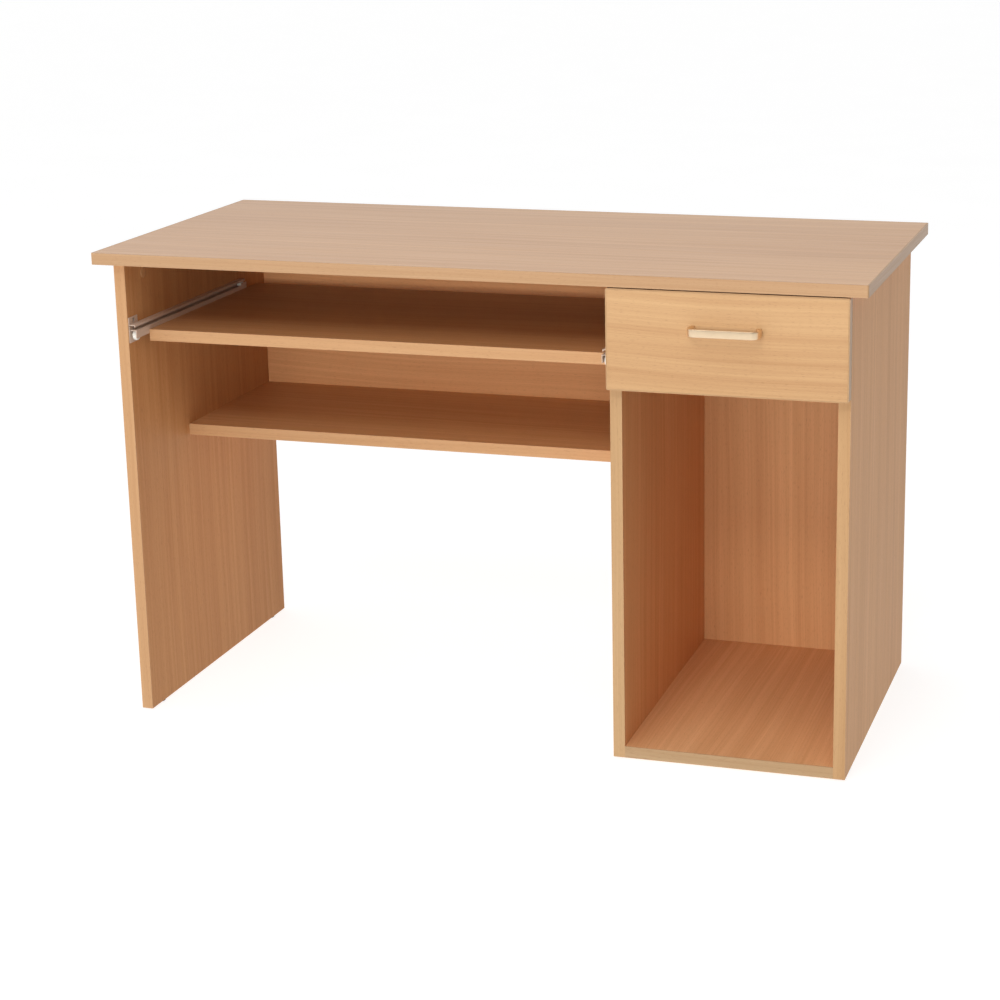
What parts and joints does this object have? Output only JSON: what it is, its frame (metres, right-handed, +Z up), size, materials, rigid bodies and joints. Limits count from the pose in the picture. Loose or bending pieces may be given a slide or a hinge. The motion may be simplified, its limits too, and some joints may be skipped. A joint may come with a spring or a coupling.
{
  "type": "computer desk with keyboard tray",
  "caption": "Beech melamine computer desk with a sliding keyboard tray, a lower shelf, a modesty panel and a right-hand pedestal with a drawer over an open computer bay.",
  "frame": {"origin": "on the floor, under the middle of the desk's bounding box", "axes": "+Z up, +X to the right of someone sitting at the desk, towards the pedestal, +Y away from them, towards the rear; the tray and the drawer open along -Y"},
  "size_m": [1.2, 0.574, 0.75],
  "materials": {
    "beech_melamine": "satin melamine with a fine straight beech grain",
    "beech_edging": "satin plastic edging with a beech print",
    "hardboard": "smooth brown hardboard",
    "epoxy_steel": "cream-white epoxy powder coat on steel sheet",
    "nylon": "natural white nylon",
    "handle_metal": "satin chrome",
    "zinc": "bright zinc",
    "glide_plastic": "brown moulded plastic"
  },
  "bodies": {
    "carcass": {"desktop": "beech_melamine", "desktop_edging": "beech_edging", "left_side_panel": "beech_melamine", "left_side_edging": "beech_edging", "pedestal_left_panel": "beech_melamine", "pedestal_left_edging": "beech_edging", "pedestal_right_panel": "beech_melamine", "pedestal_right_edging": "beech_edging", "modesty_panel": "beech_melamine", "lower_shelf": "beech_melamine", "pedestal_bottom": "beech_melamine", "pedestal_back": "beech_melamine", "shelf_edging": "beech_edging", "pedestal_bottom_edging": "beech_edging", "cam_left_side_front": "zinc", "cam_left_side_rear": "zinc", "cam_pedestal_left_front": "zinc", "cam_pedestal_left_rear": "zinc", "cam_pedestal_right_front": "zinc", "cam_pedestal_right_rear": "zinc", "cam_bolt_left_side_front": "zinc", "cam_bolt_left_side_rear": "zinc", "cam_bolt_pedestal_left_front": "zinc", "cam_bolt_pedestal_left_rear": "zinc", "cam_bolt_pedestal_right_front": "zinc", "cam_bolt_pedestal_right_rear": "zinc", "glide_left_side_front": "glide_plastic", "glide_left_side_rear": "glide_plastic", "glide_pedestal_left_front": "glide_plastic", "glide_pedestal_left_rear": "glide_plastic", "glide_pedestal_right_front": "glide_plastic", "glide_pedestal_right_rear": "glide_plastic", "tray_slide_left_fixed": "epoxy_steel", "tray_slide_right_fixed": "epoxy_steel", "drawer_slide_left_fixed": "epoxy_steel", "drawer_slide_right_fixed": "epoxy_steel"},
    "keyboard_tray": {"keyboard_tray": "beech_melamine", "tray_edging": "beech_edging", "tray_slide_left_moving": "epoxy_steel", "tray_slide_right_moving": "epoxy_steel"},
    "drawer": {"drawer_front": "beech_melamine", "drawer_front_edging": "beech_edging", "drawer_side_left": "beech_melamine", "drawer_side_right": "beech_melamine", "drawer_back": "beech_melamine", "drawer_bottom": "hardboard", "handle": "handle_metal", "handle_screw_left": "zinc", "handle_screw_right": "zinc", "drawer_slide_left_moving": "epoxy_steel", "drawer_slide_right_moving": "epoxy_steel"},
    "tray_slide_left_front_roller": {"tray_slide_left_front_roller": "nylon"},
    "tray_slide_left_rear_roller": {"tray_slide_left_rear_roller": "nylon"},
    "tray_slide_right_front_roller": {"tray_slide_right_front_roller": "nylon"},
    "tray_slide_right_rear_roller": {"tray_slide_right_rear_roller": "nylon"},
    "drawer_slide_left_front_roller": {"drawer_slide_left_front_roller": "nylon"},
    "drawer_slide_left_rear_roller": {"drawer_slide_left_rear_roller": "nylon"},
    "drawer_slide_right_front_roller": {"drawer_slide_right_front_roller": "nylon"},
    "drawer_slide_right_rear_roller": {"drawer_slide_right_rear_roller": "nylon"}
  },
  "joints": [
    {"name": "tray_slide", "type": "slide", "parent": "carcass", "child": "keyboard_tray", "axis": [0, -1, 0], "range_m": [0, 0.3]},
    {"name": "drawer_slide", "type": "slide", "parent": "carcass", "child": "drawer", "axis": [0, -1, 0], "range_m": [0, 0.3]},
    {"name": "tray_slide_left_front_roller_turn", "type": "hinge", "parent": "carcass", "child": "tray_slide_left_front_roller", "pos_m": [-0.5495, -0.227, 0.61725], "axis": [1, 0, 0], "continuous": true},
    {"name": "tray_slide_left_rear_roller_turn", "type": "hinge", "parent": "keyboard_tray", "child": "tray_slide_left_rear_roller", "pos_m": [-0.5495, 0.152, 0.6254], "axis": [1, 0, 0], "continuous": true},
    {"name": "tray_slide_right_front_roller_turn", "type": "hinge", "parent": "carcass", "child": "tray_slide_right_front_roller", "pos_m": [0.2125, -0.227, 0.61725], "axis": [1, 0, 0], "continuous": true},
    {"name": "tray_slide_right_rear_roller_turn", "type": "hinge", "parent": "keyboard_tray", "child": "tray_slide_right_rear_roller", "pos_m": [0.2125, 0.152, 0.6254], "axis": [1, 0, 0], "continuous": true},
    {"name": "drawer_slide_left_front_roller_turn", "type": "hinge", "parent": "carcass", "child": "drawer_slide_left_front_roller", "pos_m": [0.2435, -0.227, 0.61525], "axis": [1, 0, 0], "continuous": true},
    {"name": "drawer_slide_left_rear_roller_turn", "type": "hinge", "parent": "drawer", "child": "drawer_slide_left_rear_roller", "pos_m": [0.2435, 0.152, 0.6234], "axis": [1, 0, 0], "continuous": true},
    {"name": "drawer_slide_right_front_roller_turn", "type": "hinge", "parent": "carcass", "child": "drawer_slide_right_front_roller", "pos_m": [0.5495, -0.227, 0.61525], "axis": [1, 0, 0], "continuous": true},
    {"name": "drawer_slide_right_rear_roller_turn", "type": "hinge", "parent": "drawer", "child": "drawer_slide_right_rear_roller", "pos_m": [0.5495, 0.152, 0.6234], "axis": [1, 0, 0], "continuous": true}
  ],
  "couplings": [
    {"joint": "tray_slide_left_front_roller_turn", "follows": "tray_slide", "rad_per_m": 125},
    {"joint": "tray_slide_left_rear_roller_turn", "follows": "tray_slide", "rad_per_m": 125},
    {"joint": "tray_slide_right_front_roller_turn", "follows": "tray_slide", "rad_per_m": 125},
    {"joint": "tray_slide_right_rear_roller_turn", "follows": "tray_slide", "rad_per_m": 125},
    {"joint": "drawer_slide_left_front_roller_turn", "follows": "drawer_slide", "rad_per_m": 125},
    {"joint": "drawer_slide_left_rear_roller_turn", "follows": "drawer_slide", "rad_per_m": 125},
    {"joint": "drawer_slide_right_front_roller_turn", "follows": "drawer_slide", "rad_per_m": 125},
    {"joint": "drawer_slide_right_rear_roller_turn", "follows": "drawer_slide", "rad_per_m": 125}
  ]
}
